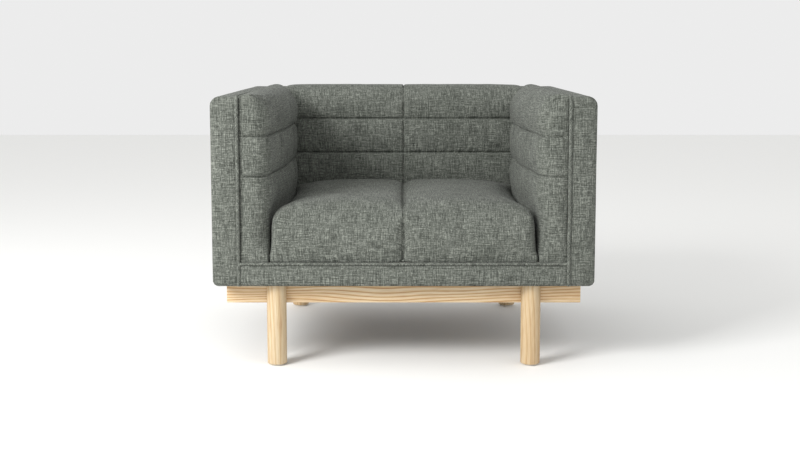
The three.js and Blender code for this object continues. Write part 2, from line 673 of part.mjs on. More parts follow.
function upholstery() {
  const group = new THREE.Group();
  for (const [side, word] of SIDES) {
    group.add(armShell(side, word));
    group.add(armPad(side, word));
    group.add(armWelt(side, word));
  }
  group.add(backShell());
  group.add(backPad());
  group.add(crossWelt("back_welt", SHELL_INNER_Y, SHELL_TOP - WELT_SINK));
  group.add(frontBand());
  group.add(crossWelt("seat_welt", FRONT + WELT_SINK, SEAT_WELT_Z));
  group.add(seatCushion());
  return group;
}

const armchair = new THREE.Group();
armchair.add(base());
armchair.add(carcass());
armchair.add(suspension());
armchair.add(upholstery());

export default armchair;
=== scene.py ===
import math

import bmesh
import bpy
import numpy as np
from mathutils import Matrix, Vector, noise


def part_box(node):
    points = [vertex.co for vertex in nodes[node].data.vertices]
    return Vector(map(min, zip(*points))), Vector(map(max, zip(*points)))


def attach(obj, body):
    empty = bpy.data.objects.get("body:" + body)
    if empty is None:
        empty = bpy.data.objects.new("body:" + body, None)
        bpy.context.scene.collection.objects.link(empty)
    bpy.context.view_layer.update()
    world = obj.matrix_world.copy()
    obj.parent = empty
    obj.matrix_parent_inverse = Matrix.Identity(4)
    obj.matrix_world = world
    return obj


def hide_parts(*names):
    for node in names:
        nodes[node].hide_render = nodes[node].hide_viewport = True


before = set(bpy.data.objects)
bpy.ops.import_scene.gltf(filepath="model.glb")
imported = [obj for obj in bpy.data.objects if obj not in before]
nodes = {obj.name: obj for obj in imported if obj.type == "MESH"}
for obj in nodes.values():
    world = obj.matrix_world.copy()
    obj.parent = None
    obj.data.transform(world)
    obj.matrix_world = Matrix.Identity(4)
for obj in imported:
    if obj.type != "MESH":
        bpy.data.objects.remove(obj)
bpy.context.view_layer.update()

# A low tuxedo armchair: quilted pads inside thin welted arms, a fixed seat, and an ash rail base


# Camera --------------------------------------------------------------------------------------
# A normal-to-long lens straight in front of the chair, a little above its arms and tipped down.
# The small shift keeps the chair's upright edges close to parallel.
CAMERA_PLACE = (0.0, -3.4534, 0.8414)
CAMERA_TIP = math.radians(6.371)
CAMERA_LENS_MM = 53.14
CAMERA_SHIFT = (-0.0046, -0.06)

camera_data = bpy.data.cameras.new("camera")
camera_data.lens = CAMERA_LENS_MM
camera_data.sensor_width = 36
camera_data.shift_x, camera_data.shift_y = CAMERA_SHIFT
camera = bpy.data.objects.new("camera", camera_data)
camera.location = CAMERA_PLACE
camera.rotation_euler = (math.pi / 2 - CAMERA_TIP, 0, 0)
bpy.context.scene.collection.objects.link(camera)
bpy.context.scene.camera = camera


# Room ----------------------------------------------------------------------------------------
# A plain pale floor under an even white sky, with one large soft lamp high on the left
# and a weak one on the right, as in a product studio.
FLOOR_SIDE = 16.0
FLOOR_DROP = 0.0004
FLOOR_COLOUR = "f4f4f2"
SKY_STRENGTH = 0.84
KEY_LAMP = {"place": (-2.3, -2.4, 2.2), "side": 1.4, "watts": 130.0}
FILL_LAMP = {"place": (3.2, -3.0, 1.6), "side": 2.5, "watts": 6.0}
LAMP_AIM = Vector((0, 0, 0.4))


def linear(hex_colour):
    """The linear colour of an sRGB hex value such as "c8a878", with full opacity."""
    parts = [int(hex_colour[i:i + 2], 16) / 255 for i in (0, 2, 4)]
    return [p / 12.92 if p <= 0.04045 else ((p + 0.055) / 1.055) ** 2.4 for p in parts] + [1.0]


def add_node(material, kind, settings=None, stops=(), **inputs):
    """Adds a node; inputs are values or the sockets to link, by input name or as in_0, in_1.

    stops are the (position, hex colour) pairs of a colour ramp.
    """
    node = material.node_tree.nodes.new("ShaderNode" + kind)
    for name, value in (settings or {}).items():
        setattr(node, name, value)
    for number, (position, hex_colour) in enumerate(stops):
        if number >= len(node.color_ramp.elements):
            node.color_ramp.elements.new(1.0)
        node.color_ramp.elements[number].position = position
        node.color_ramp.elements[number].color = linear(hex_colour)
    for name, value in inputs.items():
        key = int(name[3:]) if name.startswith("in_") else name.replace("_", " ")
        if isinstance(value, bpy.types.NodeSocket):
            material.node_tree.links.new(value, node.inputs[key])
        else:
            node.inputs[key].default_value = value
    return node


def new_material(name, roughness, metallic=0.0, **shader_values):
    """An empty material with a Principled shader; its shader is returned with it."""
    material = bpy.data.materials.new(name)
    material.use_nodes = True
    shader = material.node_tree.nodes["Principled BSDF"]
    shader.inputs["Roughness"].default_value = roughness
    shader.inputs["Metallic"].default_value = metallic
    for key, value in shader_values.items():
        shader.inputs[key.replace("_", " ")].default_value = value
    return material, shader


def link(material, source, target):
    material.node_tree.links.new(source, target)


bpy.ops.object.select_all(action="DESELECT")
bpy.ops.mesh.primitive_plane_add(size=FLOOR_SIDE, location=(0, 0, -FLOOR_DROP))
floor = bpy.context.object
floor.name = "floor"
floor_material, floor_shader = new_material("pale_floor", 0.9)
floor_shader.inputs["Base Color"].default_value = linear(FLOOR_COLOUR)
floor.data.materials.append(floor_material)

world = bpy.data.worlds.new("studio")
world.use_nodes = True
world.node_tree.nodes["Background"].inputs["Color"].default_value = (1, 1, 1, 1)
world.node_tree.nodes["Background"].inputs["Strength"].default_value = SKY_STRENGTH
bpy.context.scene.world = world
bpy.context.scene.view_settings.view_transform = "Standard"

for lamp_name, lamp in (("key_lamp", KEY_LAMP), ("fill_lamp", FILL_LAMP)):
    lamp_data = bpy.data.lights.new(lamp_name, "AREA")
    lamp_data.energy = lamp["watts"]
    lamp_data.size = lamp["side"]
    lamp_object = bpy.data.objects.new(lamp_name, lamp_data)
    lamp_object.location = lamp["place"]
    aim = LAMP_AIM - lamp_object.location
    lamp_object.rotation_euler = aim.to_track_quat("-Z", "Y").to_euler()
    lamp_object.visible_camera = False
    bpy.context.scene.collection.objects.link(lamp_object)


# Ash base ------------------------------------------------------------------------------------
# Two long rails, two cross rails between them and four turned legs, all of solid pale ash with
# an oil finish. The arrises are eased with fine paper, and each leg laps over its rail's face.
RAIL_ARRIS = 0.0016
LEG_ARRIS = 0.0035
LEG_SIDES = 64
ASH_RING_SPACING = 0.0105
RING_WAVE = 0.085
RING_SLANT = 0.35
WAVE_SCALE = (1.5, 9.0, 9.0)
PORE_SCALE = (22.0, 900.0, 900.0)
TONE_SCALE = (2.0, 14.0, 14.0)
RING_COLOURS = [(0.0, "ac8255"), (0.08, "bf9b6c"), (0.22, "dac39a"), (0.5, "e6d6b9"), (0.88, "dcc9a6"),
                (1.0, "ba9061")]
ASH_PLAIN = "bdac8c"
PORE_COLOUR = "c9a57c"
PORE_DEPTH = 0.0004
LEG_FIGURE = 0.4
LAP_GAP = 0.0003
SAME_PLACE = 1e-5


def ash_material(name, turn, shift, figure=1.0):
    """Oiled ash: pale wood with brown growth rings, which gives long wavy lines along the grain.

    turn brings the grain's direction to X, shift picks another part of the plank, and figure is
    how strongly the rings show.
    """
    material, shader = new_material(name, 0.5)
    shader.inputs["Coat Weight"].default_value = 0.08
    shader.inputs["Coat Roughness"].default_value = 0.35
    place = add_node(material, "TexCoord").outputs["Object"]
    along = add_node(material, "Mapping", Vector=place, Rotation=turn, Location=shift).outputs[0]
    slow = add_node(material, "Mapping", Vector=along, Scale=WAVE_SCALE).outputs[0]
    drift = add_node(material, "TexNoise", Vector=slow, Scale=1.0, Detail=2.0, Roughness=0.45)
    parts = add_node(material, "SeparateXYZ", Vector=along)
    lift = add_node(material, "Math", {"operation": "MULTIPLY_ADD"}, in_0=drift.outputs["Fac"],
                    in_1=RING_WAVE, in_2=parts.outputs["Z"])
    ring = add_node(material, "Math", {"operation": "MULTIPLY_ADD"}, in_0=parts.outputs["Y"],
                    in_1=RING_SLANT, in_2=lift.outputs[0])
    count = add_node(material, "Math", {"operation": "DIVIDE"}, in_0=ring.outputs[0],
                     in_1=ASH_RING_SPACING)
    year = add_node(material, "Math", {"operation": "FRACT"}, in_0=count.outputs[0])
    rings = add_node(material, "ValToRGB", Fac=year.outputs[0], stops=RING_COLOURS).outputs[0]
    plain = add_node(material, "Mix", {"data_type": "RGBA"}, in_0=figure)
    plain.inputs[6].default_value = linear(ASH_PLAIN)
    link(material, rings, plain.inputs[7])
    pore_place = add_node(material, "Mapping", Vector=along, Scale=PORE_SCALE).outputs[0]
    pores = add_node(material, "TexNoise", Vector=pore_place, Scale=1.0, Detail=2.0)
    pore_tint = add_node(material, "ValToRGB", Fac=pores.outputs["Fac"],
                         stops=[(0.33, PORE_COLOUR), (0.56, "ffffff")]).outputs[0]
    mixed = add_node(material, "Mix", {"data_type": "RGBA", "blend_type": "MULTIPLY"}, Factor=0.45)
    link(material, plain.outputs[2], mixed.inputs[6])
    link(material, pore_tint, mixed.inputs[7])
    tone_place = add_node(material, "Mapping", Vector=along, Scale=TONE_SCALE).outputs[0]
    tone = add_node(material, "TexNoise", Vector=tone_place, Scale=1.0, Detail=1.0)
    tone_tint = add_node(material, "ValToRGB", Fac=tone.outputs["Fac"],
                         stops=[(0.3, "f3e2cc"), (0.7, "ffffff")]).outputs[0]
    toned = add_node(material, "Mix", {"data_type": "RGBA", "blend_type": "MULTIPLY"}, Factor=0.8)
    link(material, mixed.outputs[2], toned.inputs[6])
    link(material, tone_tint, toned.inputs[7])
    link(material, toned.outputs[2], shader.inputs["Base Color"])
    sheen = add_node(material, "MapRange", Value=year.outputs[0], To_Min=0.6, To_Max=0.42)
    link(material, sheen.outputs[0], shader.inputs["Roughness"])
    bump = add_node(material, "Bump", Strength=0.25, Distance=PORE_DEPTH, Height=pores.outputs["Fac"])
    link(material, bump.outputs[0], shader.inputs["Normal"])
    return material


def finish_piece(piece, material, replaced):
    """Gives a finished piece its material and its body, and hides the CAD nodes that it stands for."""
    piece.data.materials.clear()
    piece.data.materials.append(material)
    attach(piece, "root")
    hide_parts(*replaced)


def planed_bar(name, node):
    """A square-cut bar as long and thick as a CAD node, with its arrises eased."""
    low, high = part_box(node)
    bpy.ops.object.select_all(action="DESELECT")
    bpy.ops.mesh.primitive_cube_add(size=1, location=(low + high) / 2)
    bar = bpy.context.object
    bar.name = name
    bar.scale = high - low
    bpy.ops.object.transform_apply(location=True, rotation=False, scale=True)
    bpy.ops.object.mode_set(mode="EDIT")
    bpy.ops.mesh.select_all(action="SELECT")
    bpy.ops.mesh.bevel(offset=RAIL_ARRIS, segments=3, affect="EDGES")
    bpy.ops.object.mode_set(mode="OBJECT")
    bpy.ops.object.shade_smooth_by_angle(angle=math.radians(40))
    return bar


GRAIN_ALONG_Y = (0, 0, -math.pi / 2)
GRAIN_ALONG_Z = (0, math.pi / 2, 0)
ash_long = ash_material("oiled_ash_long_rails", (0, 0, 0), (0.31, 0.0, 0.004))
ash_cross = ash_material("oiled_ash_cross_rails", GRAIN_ALONG_Y, (0.2, 0.1, 0.05))
for end in ("front", "rear"):
    rail_node = f"base_{end}_rail"
    finish_piece(planed_bar(f"ash_{end}_rail", rail_node), ash_long, [rail_node])
for side in ("left", "right"):
    rail_node = f"base_{side}_cross_rail"
    finish_piece(planed_bar(f"ash_{side}_cross_rail", rail_node), ash_cross, [rail_node])


def turned_leg(name, node, rail_node):
    """A turned leg: a cylinder with an eased foot, sawn flat where it laps over the long rail."""
    low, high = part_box(node)
    rail_low, rail_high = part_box(rail_node)
    middle = (low.x + high.x) / 2
    radius = (high.x - low.x) / 2
    front = low.y < 0
    axis_y = low.y + radius if front else high.y - radius
    bpy.ops.object.select_all(action="DESELECT")
    bpy.ops.mesh.primitive_cylinder_add(vertices=LEG_SIDES, radius=radius, depth=high.z - low.z,
                                        location=(middle, axis_y, (low.z + high.z) / 2))
    shaft = bpy.context.object
    shaft.name = name
    bpy.ops.object.transform_apply(location=True, rotation=False, scale=False)
    bpy.ops.object.mode_set(mode="EDIT")
    bpy.ops.mesh.select_all(action="DESELECT")
    bpy.ops.mesh.select_mode(type="EDGE")
    shape = bmesh.from_edit_mesh(shaft.data)
    for edge in shape.edges:
        edge.select = all(abs(v.co.z - low.z) < SAME_PLACE for v in edge.verts)
    bmesh.update_edit_mesh(shaft.data)
    bpy.ops.mesh.bevel(offset=LEG_ARRIS, segments=4, affect="EDGES")
    bpy.ops.object.mode_set(mode="OBJECT")
    far = 3 * radius
    lap_y = rail_low.y - LAP_GAP if front else rail_high.y + LAP_GAP - far
    lap_low = Vector((middle - far, lap_y, rail_low.z - LAP_GAP))
    lap_high = lap_low + Vector((2 * far, far, 2 * (rail_high.z - rail_low.z)))
    bpy.ops.object.select_all(action="DESELECT")
    bpy.ops.mesh.primitive_cube_add(size=1, location=(lap_low + lap_high) / 2)
    lap = bpy.context.object
    lap.scale = lap_high - lap_low
    bpy.ops.object.transform_apply(location=True, rotation=False, scale=True)
    saw = shaft.modifiers.new("lap", "BOOLEAN")
    saw.operation = "DIFFERENCE"
    saw.object = lap
    bpy.context.view_layer.objects.active = shaft
    bpy.ops.object.modifier_apply(modifier=saw.name)
    bpy.data.objects.remove(lap)
    bpy.ops.object.select_all(action="DESELECT")
    shaft.select_set(True)
    bpy.ops.object.shade_smooth_by_angle(angle=math.radians(35))
    return shaft


leg_shift = 0.0
for end in ("front", "rear"):
    for side in ("left", "right"):
        leg_shift += 0.37
        leg_node = f"leg_{end}_{side}"
        plank = (leg_shift, leg_shift * 0.2, leg_shift * 0.3)
        leg_ash = ash_material(f"oiled_ash_{leg_node}", GRAIN_ALONG_Z, plank, LEG_FIGURE)
        leg = turned_leg(f"ash_{leg_node}", leg_node, f"base_{end}_rail")
        finish_piece(leg, leg_ash, [leg_node])


# Woven cover ---------------------------------------------------------------------------------
# Every soft surface wears one cloth: a plain weave of grey-green melange yarn, whose light and
# dark slubs cross. The yarns are about 1 mm; their marks are drawn 1.2 to 2.4 mm wide, so they show.

# Slubs, fine yarn and long faint streaks: the length and width of each, and how strongly it shows
YARN_MARKS = ((0.019, 0.0017, 0.75), (0.006, 0.0012, 0.65), (0.060, 0.0024, 0.6))
YARN_RANGE = (1.62, 2.38)
YARN_HEIGHT = 0.0012
CLOTH_COLOURS = [(0.0, "333631"), (0.34, "50534d"), (0.50, "5c5f59"), (0.68, "747770"), (1.0, "91958c")]
CLOTH_PATCHES = [(0.3, "f0f1f0"), (0.7, "ffffff")]
PATCH_SCALE = 11.0


def woven_cloth(name, bias=0.0):
    """Melange wool blend: streaks of light and dark yarn along both thread directions."""
    material, shader = new_material(name, 0.92, Sheen_Weight=0.06, Sheen_Roughness=0.5)
    shader.inputs["Specular IOR Level"].default_value = 0.25
    threads = add_node(material, "UVMap", {"uv_map": "threads"}).outputs[0]
    if bias:
        threads = add_node(material, "Mapping", Vector=threads, Rotation=(0, 0, bias)).outputs[0]
    total = 0.0
    count = 0
    for length, width, weight in YARN_MARKS:
        for scale in ((1 / length, 1 / width, 1), (1 / width, 1 / length, 1)):
            stretched = add_node(material, "Mapping", Vector=threads, Scale=scale,
                                 Location=(3.7 * count, 1.9 * count, 0)).outputs[0]
            field = add_node(material, "TexNoise", Vector=stretched, Scale=1.0, Detail=1.0, Roughness=0.5)
            total = add_node(material, "Math", {"operation": "MULTIPLY_ADD"}, in_0=field.outputs["Fac"],
                             in_1=weight, in_2=total).outputs[0]
            count += 1
    share = add_node(material, "MapRange", Value=total, From_Min=YARN_RANGE[0],
                     From_Max=YARN_RANGE[1]).outputs[0]
    colour = add_node(material, "ValToRGB", Fac=share, stops=CLOTH_COLOURS).outputs[0]
    patch = add_node(material, "TexNoise", Vector=threads, Scale=PATCH_SCALE, Detail=2.0)
    patch_tint = add_node(material, "ValToRGB", Fac=patch.outputs["Fac"], stops=CLOTH_PATCHES).outputs[0]
    toned = add_node(material, "Mix", {"data_type": "RGBA", "blend_type": "MULTIPLY"}, Factor=1.0)
    link(material, colour, toned.inputs[6])
    link(material, patch_tint, toned.inputs[7])
    link(material, toned.outputs[2], shader.inputs["Base Color"])
    bump = add_node(material, "Bump", Strength=0.55, Distance=YARN_HEIGHT, Height=share)
    link(material, bump.outputs[0], shader.inputs["Normal"])
    return material


cover_cloth = woven_cloth("woven_melange_cover")
welt_cloth = woven_cloth("woven_melange_welt", bias=math.radians(45))


# Where the mesh lines of a rounded edge run, as shares of its rounding, and how close lines may be
ROUND_SHARES = (0.423, 0.732, 1.0)
NEAREST_LINES = 0.0015
STEP_SLACK = 0.3

# How far a face has to look forward or back to count as a front or rear one, and the share of
# a piece's width over which its sides' threads turn over
FRONT_FACING = 0.35
REAR_FACING = 0.6
SIDE_BLEND = 0.2


def points_of(piece):
    flat = np.empty(len(piece.data.vertices) * 3)
    piece.data.vertices.foreach_get("co", flat)
    return flat.reshape(-1, 3)


def normals_of(piece):
    flat = np.empty(len(piece.data.vertices) * 3)
    piece.data.vertex_normals.foreach_get("vector", flat)
    return flat.reshape(-1, 3)


def set_points(piece, points):
    piece.data.vertices.foreach_set("co", np.ascontiguousarray(points).ravel())
    piece.data.update()


def ripple(points, size, seed):
    """Smooth noise from about -1 to 1 over points, with waves about size across."""
    start = Vector((seed * 7.3, seed * 3.1, seed * 5.7))
    return np.array([noise.noise(Vector(p) / size + start) for p in points])


def mesh_lines(low, high, low_round, high_round, cell, fixed):
    """Places of the mesh lines from low to high: on the fixed places, close in the rounded ends."""
    wanted = [low, high, *fixed]
    for edge, reach in ((low, low_round), (high, -high_round)):
        for share in ROUND_SHARES:
            place = edge + reach * share
            if min(abs(place - other) for other in wanted) > NEAREST_LINES:
                wanted.append(place)
    wanted.sort()
    places = [low]
    for start, stop in zip(wanted, wanted[1:]):
        steps = max(1, math.ceil((stop - start) / cell - STEP_SLACK))
        places += [start + (stop - start) * i / steps for i in range(1, steps + 1)]
    return places


def soft_block(name, low, high, low_round, high_round, cell, fixed=((), (), ()), narrow=None):
    """A closed block with rounded edges, as a mesh of even quads.

    low_round and high_round are how far the rounding reaches in from each face, per axis.
    fixed holds places where a mesh line has to run, such as seams, per axis.
    narrow gives, for an array of points, the share of the rounding that each keeps, per axis.
    """
    low, high = np.array(low, float), np.array(high, float)
    low_round, high_round = np.array(low_round, float), np.array(high_round, float)
    lines = [mesh_lines(low[a], high[a], low_round[a], high_round[a], cell, fixed[a])
             for a in range(3)]
    found, points, faces = {}, [], []
    for axis in range(3):
        u, v = (axis + 1) % 3, (axis + 2) % 3
        for end in (0, len(lines[axis]) - 1):
            for i in range(len(lines[u]) - 1):
                for j in range(len(lines[v]) - 1):
                    ring = []
                    for step_u, step_v in ((0, 0), (1, 0), (1, 1), (0, 1)):
                        key = [end, end, end]
                        key[u], key[v] = i + step_u, j + step_v
                        key = tuple(key)
                        if key not in found:
                            found[key] = len(points)
                            points.append([lines[a][key[a]] for a in range(3)])
                        ring.append(found[key])
                    faces.append(ring if end else ring[::-1])
    flat = np.array(points)
    if narrow:
        low_round, high_round = low_round * narrow(flat), high_round * narrow(flat)
    out = (np.maximum(flat - (high - high_round), 0) / high_round
           - np.maximum(low + low_round - flat, 0) / low_round)
    length = np.maximum(np.linalg.norm(out, axis=1), 1e-9)
    out *= (np.abs(out).max(axis=1) / length)[:, None]
    inner = np.clip(flat, low + low_round, high - high_round)
    flat = inner + np.where(out > 0, out * high_round, out * low_round)
    mesh = bpy.data.meshes.new(name)
    mesh.from_pydata(flat.tolist(), [], faces)
    mesh.update()
    piece = bpy.data.objects.new(name, mesh)
    bpy.context.scene.collection.objects.link(piece)
    return piece


def apply_modifier(piece, modifier):
    bpy.ops.object.select_all(action="DESELECT")
    bpy.context.view_layer.objects.active = piece
    piece.select_set(True)
    bpy.ops.object.modifier_apply(modifier=modifier.name)


def refine(piece):
    """One subdivision, which rounds the mesh off."""
    modifier = piece.modifiers.new("refine", "SUBSURF")
    modifier.levels = 1
    modifier.render_levels = 1
    apply_modifier(piece, modifier)


def press_in(piece, distance, depth, width):
    """Presses a groove into the piece where distance, one value for each vertex, is near 0.

    depth is one value, or one for each vertex.
    """
    push = depth * np.exp(-(distance / width) ** 2)
    set_points(piece, points_of(piece) - normals_of(piece) * push[:, None])


def distance_to_line(points, start, stop):
    """How far each point is from the straight stretch between start and stop."""
    start, stop = np.array(start, float), np.array(stop, float)
    along = stop - start
    share = np.clip((points - start) @ along / (along @ along), 0, 1)
    return np.linalg.norm(points - start - share[:, None] * along, axis=1)


def soften(piece, seed, height=0.0007, size=0.07):
    """Small unevenness of the wadding under the cloth."""
    points = points_of(piece)
    wave = height * ripple(points, size, seed) + 0.35 * height * ripple(points, size / 3, seed + 1)
    set_points(piece, points + normals_of(piece) * wave[:, None])


def lay_threads(piece):
    """A UV map in metres along the cloth's threads: across and up, carried over the rounded edges."""
    mesh = piece.data
    layer = mesh.uv_layers.get("threads") or mesh.uv_layers.new(name="threads")
    points = points_of(piece)
    low, high = points.min(axis=0), points.max(axis=0)
    corner = np.empty(len(mesh.loops), np.int64)
    mesh.loops.foreach_get("vertex_index", corner)
    facing = np.empty(len(mesh.polygons) * 3)
    mesh.polygons.foreach_get("normal", facing)
    totals = np.empty(len(mesh.polygons), np.int64)
    mesh.polygons.foreach_get("loop_total", totals)
    facing = np.repeat(facing.reshape(-1, 3), totals, axis=0)
    place = points[corner]
    deep = place[:, 1] - low[1]
    side = np.clip((place[:, 0] - (low[0] + high[0]) / 2) / (SIDE_BLEND * (high[0] - low[0])), -1, 1)
    from_side = np.minimum(place[:, 0] - low[0], high[0] - place[:, 0]) ** 2
    from_top = (high[2] - place[:, 2]) ** 2
    lying = np.where(facing[:, 1] < -FRONT_FACING, from_side / (from_side + from_top + 1e-9),
                     np.abs(facing[:, 2]) > np.abs(facing[:, 0]))
    deep[facing[:, 1] > REAR_FACING] = 0
    across = place[:, 0] + side * deep * (1 - lying)
    up = place[:, 2] + deep * lying
    layer.data.foreach_set("uv", np.stack([across, up], axis=1).astype(np.float32).ravel())


def smooth(piece):
    piece.data.polygons.foreach_set("use_smooth", [True] * len(piece.data.polygons))
    piece.data.update()


def eased(values, start, reach, least=0.0):
    """least up to start, 1 from start + reach on, and an S-shaped rise between.

    The pairs named SPAN below are such a start and reach, in metres.
    """
    share = np.clip((values - start) / reach, 0, 1)
    return least + (1 - least) * share * share * (3 - 2 * share)


# Shell covers --------------------------------------------------------------------------------
# The arms, the back and the band under the seat are a hardwood frame in thin wadding under
# taut cloth. Each cover is a skin that is open where it is stapled to the frame inside.
SKIN_THICKNESS = 0.005
SHELL_CELL = 0.012
SHELL_CROWN = 0.0022
HEM_WIDTH = 0.0123
HEM_DEPTH = 0.0045
SHELL_LIFT = 0.0013
SHELL_ROUND = 0.024
FRONT_ROUND = 0.009
CLOSED_ROUND = 0.0035
LOWER_ROUND = 0.014
INNER_ROUND = 0.004
CUT_OFF = 0.03
CUT_OFF_ROUND = 0.01
CROWN_REACH = 0.05
COVER_WAVE = 0.0005
COVER_WAVE_SIZE = 0.11
BOXING_SEAM = 0.7035
BOXING_GROOVE = 0.0012
BOXING_END = 0.452
BOXING_FADE = 0.15
LOWER_EDGE_SPAN = (0.02, 0.05)
LOWER_EDGE_LEAST = 0.58
WELT_SIDE_SPAN = (0.004, 0.028)
WELT_SIDE_LEAST = 0.15
BUTT_GAP = 0.0006

cad_shell_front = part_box("left_arm_shell")[0].y
cad_shell_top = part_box("left_arm_shell")[1].z


def taut_cover(name, low, high, low_round, high_round, open_faces, seed, lines=(), narrow=None,
               butt=None):
    """A padded skin over one part of the frame, without the faces listed as (axis, at the high end).

    A hem of the cloth is kept all round each opening. lines holds heights where a mesh line has
    to run, narrow is as for soft_block, and the skin is cut off square at x = butt and -butt.
    """
    low, high = np.array(low), np.array(high)
    hems = [[low[a] + HEM_WIDTH, high[a] - HEM_WIDTH] if high[a] - low[a] > 4 * HEM_WIDTH else []
            for a in range(3)]
    hems[2] += lines
    if butt:
        hems[0] += [-butt, butt]
    skin = soft_block(name, low, high, low_round, high_round, SHELL_CELL, hems, narrow)
    points = points_of(skin)
    room = np.sort(np.minimum(points - low, high - points), axis=1)[:, 1]
    swell = SHELL_CROWN * eased(room, 0, CROWN_REACH) + COVER_WAVE * ripple(points, COVER_WAVE_SIZE, seed)
    set_points(skin, points + normals_of(skin) * swell[:, None])
    shape = bmesh.new()
    shape.from_mesh(skin.data)
    doomed = []
    for face in shape.faces:
        middle = face.calc_center_median()
        if butt and abs(middle.x) > butt:
            doomed.append(face)
            continue
        for axis, at_high in open_faces:
            off = abs(middle[axis] - (high if at_high else low)[axis])
            rims = [(other, end) for other in range(3) if other != axis for end in (False, True)
                    if (other, end) not in open_faces]
            if off < HEM_DEPTH and abs(face.normal[axis]) > 0.5 and all(
                    abs(middle[other] - (high if end else low)[other]) > HEM_WIDTH for other, end in rims):
                doomed.append(face)
                break
    bmesh.ops.delete(shape, geom=doomed, context="FACES")
    shape.to_mesh(skin.data)
    shape.free()
    skin.data.update()
    wall = skin.modifiers.new("wadding", "SOLIDIFY")
    wall.thickness = SKIN_THICKNESS
    wall.offset = -1
    apply_modifier(skin, wall)
    return skin


def finish_cover(skin, node):
    """Gives a shell's skin its threads and its cloth."""
    lay_threads(skin)
    smooth(skin)
    finish_piece(skin, cover_cloth, [node])


for side, sign in (("left", -1), ("right", 1)):
    shell_low, shell_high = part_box(f"{side}_arm_shell")
    low = [shell_low.x, shell_low.y, shell_low.z + SHELL_LIFT]
    high = list(shell_high)
    outer_round = [SHELL_ROUND, FRONT_ROUND, SHELL_ROUND]
    inner_round = [CLOSED_ROUND, FRONT_ROUND, SHELL_ROUND]
    near, far = (outer_round, inner_round) if sign < 0 else (inner_round, outer_round)
    inner_x = min(abs(low[0]), abs(high[0]))

    def keep_cover_round(points):
        """The rounding is smaller at the lower edge, and small at the welt's side."""
        lower = eased(points[:, 2] - low[2], *LOWER_EDGE_SPAN, LOWER_EDGE_LEAST)
        at_welt = eased(np.abs(points[:, 0]) - inner_x, *WELT_SIDE_SPAN, WELT_SIDE_LEAST)
        return np.stack([lower, np.ones_like(lower), np.minimum(lower, at_welt)], axis=1)

    groove_lines = [BOXING_SEAM - BOXING_GROOVE, BOXING_SEAM, BOXING_SEAM + BOXING_GROOVE]
    cover = taut_cover(f"{side}_arm_cover", low, high, near, far, [(0, sign < 0), (2, False)],
                       11 + sign, groove_lines, keep_cover_round)
    points = points_of(cover)
    off_face = (np.abs(points[:, 1] - low[1]) * BOXING_FADE
                + np.maximum(BOXING_END - np.abs(points[:, 0]), 0))
    press_in(cover, np.abs(points[:, 2] - BOXING_SEAM) + off_face, BOXING_GROOVE, BOXING_GROOVE)
    finish_cover(cover, f"{side}_arm_shell")

back_low, back_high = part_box("back_shell")
arm_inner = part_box("right_arm_shell")[0].x
back_edge = arm_inner - BUTT_GAP
cover = taut_cover("back_cover", [-back_edge - CUT_OFF, back_low.y, back_low.z + SHELL_LIFT],
                   [back_edge + CUT_OFF, back_high.y, back_high.z],
                   [CUT_OFF_ROUND, INNER_ROUND, LOWER_ROUND], [CUT_OFF_ROUND, FRONT_ROUND, SHELL_ROUND],
                   [(1, False), (2, False)], 15, butt=back_edge)
finish_cover(cover, "back_shell")

# The band runs in under the seat, and stays just below the welt on it
BAND_UNDER = 0.02
BAND_DROP = 0.0015
BAND_TOP_ROUND = 0.0045

band_low, band_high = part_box("front_band")
cover = taut_cover("front_band_cover", [-back_edge - CUT_OFF, band_low.y, band_low.z + SHELL_LIFT],
                   [back_edge + CUT_OFF, band_high.y + BAND_UNDER, band_high.z - BAND_DROP],
                   [CUT_OFF_ROUND, FRONT_ROUND, LOWER_ROUND], [CUT_OFF_ROUND, INNER_ROUND, BAND_TOP_ROUND],
                   [(1, True), (2, False)], 17, butt=back_edge)
finish_cover(cover, "front_band")


# Quilted pads --------------------------------------------------------------------------------
# Foam and fibre under cloth, sewn through to the backing along level channel seams, so each
# channel swells into a flat roll. The cloth is inflated by simulation with its seams held.
CHANNEL_SEAMS = (0.508, 0.613)
BACK_SEAM_RISE = 0.010
SEAM_STRIP = 0.0022
SEAM_DEPTH = 0.0055
SEAM_WIDTH = 0.0024
ON_SEAM = 0.6 * SEAM_STRIP
PAD_CELL = 0.0095
PAD_LEAN = 0.023
PAD_TUCK = 0.022
PAD_CROWN = 0.016
CHANNEL_SWELL = 0.005
ROLL_CAP = 0.0135
PAD_PRESSURE = 9.0
PAD_SLACK = 0.011
SETTLE_FRAMES = 20
PUCKER_HEIGHT = 0.0014
PUCKER_SIZE = 0.014
PUCKER_REACH = 0.016
PLEAT_DEPTH = 0.0035
PLEAT_WIDTH = 0.0020
FACE_X = 0.3545
OUTER_X = 0.4278
FRONT_SETBACK = 0.0005
PAD_DROP = 0.005
INNER_ROUNDING = 0.052
OUTER_ROUNDING = 0.006
FRONT_ROUNDING = 0.038
REAR_ROUNDING = 0.012
TOP_ROUNDING = 0.060
FLOOR_ROUNDING = 0.005
PAD_SINK = 0.0022
LEAN_SPAN = (0, 0.34)
TUCK_SPAN = (-0.040, 0.045)
SEAM_END_SPAN = (0, 0.012)

pad_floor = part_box("left_arm_pad")[0].z - PAD_SINK
pad_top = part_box("left_arm_pad")[1].z
pad_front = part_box("left_arm_pad")[0].y
back_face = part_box("back_pad")[0].y


def pad_lean(y):
    """How far the arm pads lean in towards the sitter: nothing at the front and behind the back pad."""
    behind = eased(y - back_face, *TUCK_SPAN)
    return PAD_LEAN * eased(y - pad_front, *LEAN_SPAN) * (1 - behind) - PAD_TUCK * behind


def seam_lines(values):
    """Mesh lines on each seam and close by on both sides of it."""
    return [v + step for v in values for step in (-SEAM_STRIP, 0.0, SEAM_STRIP)]


